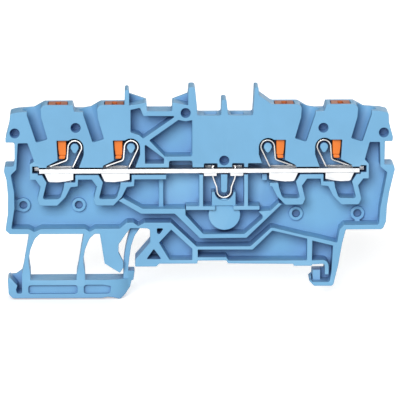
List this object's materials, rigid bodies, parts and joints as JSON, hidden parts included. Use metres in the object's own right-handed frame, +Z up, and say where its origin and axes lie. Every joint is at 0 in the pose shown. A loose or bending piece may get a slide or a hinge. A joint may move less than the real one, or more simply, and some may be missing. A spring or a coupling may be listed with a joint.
{
  "type": "din rail terminal block",
  "caption": "Narrow push-in terminal block for a 35 mm rail, open on one side, with a current bar, spring clamps, push-buttons, jumper slots and a sprung rail latch.",
  "frame": {"origin": "centre line of the 35 mm rail, at the block's mid width, level with the rail's top surface", "axes": "+X along the block towards its fixed hook, +Y from the open side to the closed back wall, +Z up from the rail"},
  "size_m": [0.0694, 0.0052, 0.0385],
  "materials": {
    "blue_plastic": "satin moulded",
    "orange_plastic": "satin moulded",
    "tinned_copper": "bright tin plate",
    "spring_steel": "polished strip"
  },
  "bodies": {
    "housing": {"housing": "blue_plastic", "current_bar": "tinned_copper", "jumper_spring": "spring_steel", "clamp_spring_1": "spring_steel", "clamp_spring_2": "spring_steel", "clamp_spring_3": "spring_steel", "clamp_spring_4": "spring_steel", "flex_leg_1": "blue_plastic", "flex_leg_2": "blue_plastic", "flex_leg_3": "blue_plastic"},
    "push_button_1": {"push_button_1": "orange_plastic"},
    "push_button_2": {"push_button_2": "orange_plastic"},
    "push_button_3": {"push_button_3": "orange_plastic"},
    "push_button_4": {"push_button_4": "orange_plastic"},
    "rail_latch": {"rail_latch": "blue_plastic"}
  },
  "joints": [
    {"name": "press_button_1", "type": "slide", "parent": "housing", "child": "push_button_1", "axis": [0, 0, -1], "range_m": [0, 0.0013], "stiffness_N_per_m": 2000, "springref_m": -0.0005, "deforming": ["clamp_spring_1"]},
    {"name": "press_button_2", "type": "slide", "parent": "housing", "child": "push_button_2", "axis": [0, 0, -1], "range_m": [0, 0.0013], "stiffness_N_per_m": 2000, "springref_m": -0.0005, "deforming": ["clamp_spring_2"]},
    {"name": "press_button_3", "type": "slide", "parent": "housing", "child": "push_button_3", "axis": [0, 0, -1], "range_m": [0, 0.0013], "stiffness_N_per_m": 2000, "springref_m": -0.0005, "deforming": ["clamp_spring_3"]},
    {"name": "press_button_4", "type": "slide", "parent": "housing", "child": "push_button_4", "axis": [0, 0, -1], "range_m": [0, 0.0013], "stiffness_N_per_m": 2000, "springref_m": -0.0005, "deforming": ["clamp_spring_4"]},
    {"name": "release_latch", "type": "slide", "parent": "housing", "child": "rail_latch", "axis": [-1, 0, 0], "range_m": [0, 0.0015], "stiffness_N_per_m": 8000, "springref_m": -0.0002, "deforming": ["flex_leg_1", "flex_leg_2", "flex_leg_3"]}
  ]
}
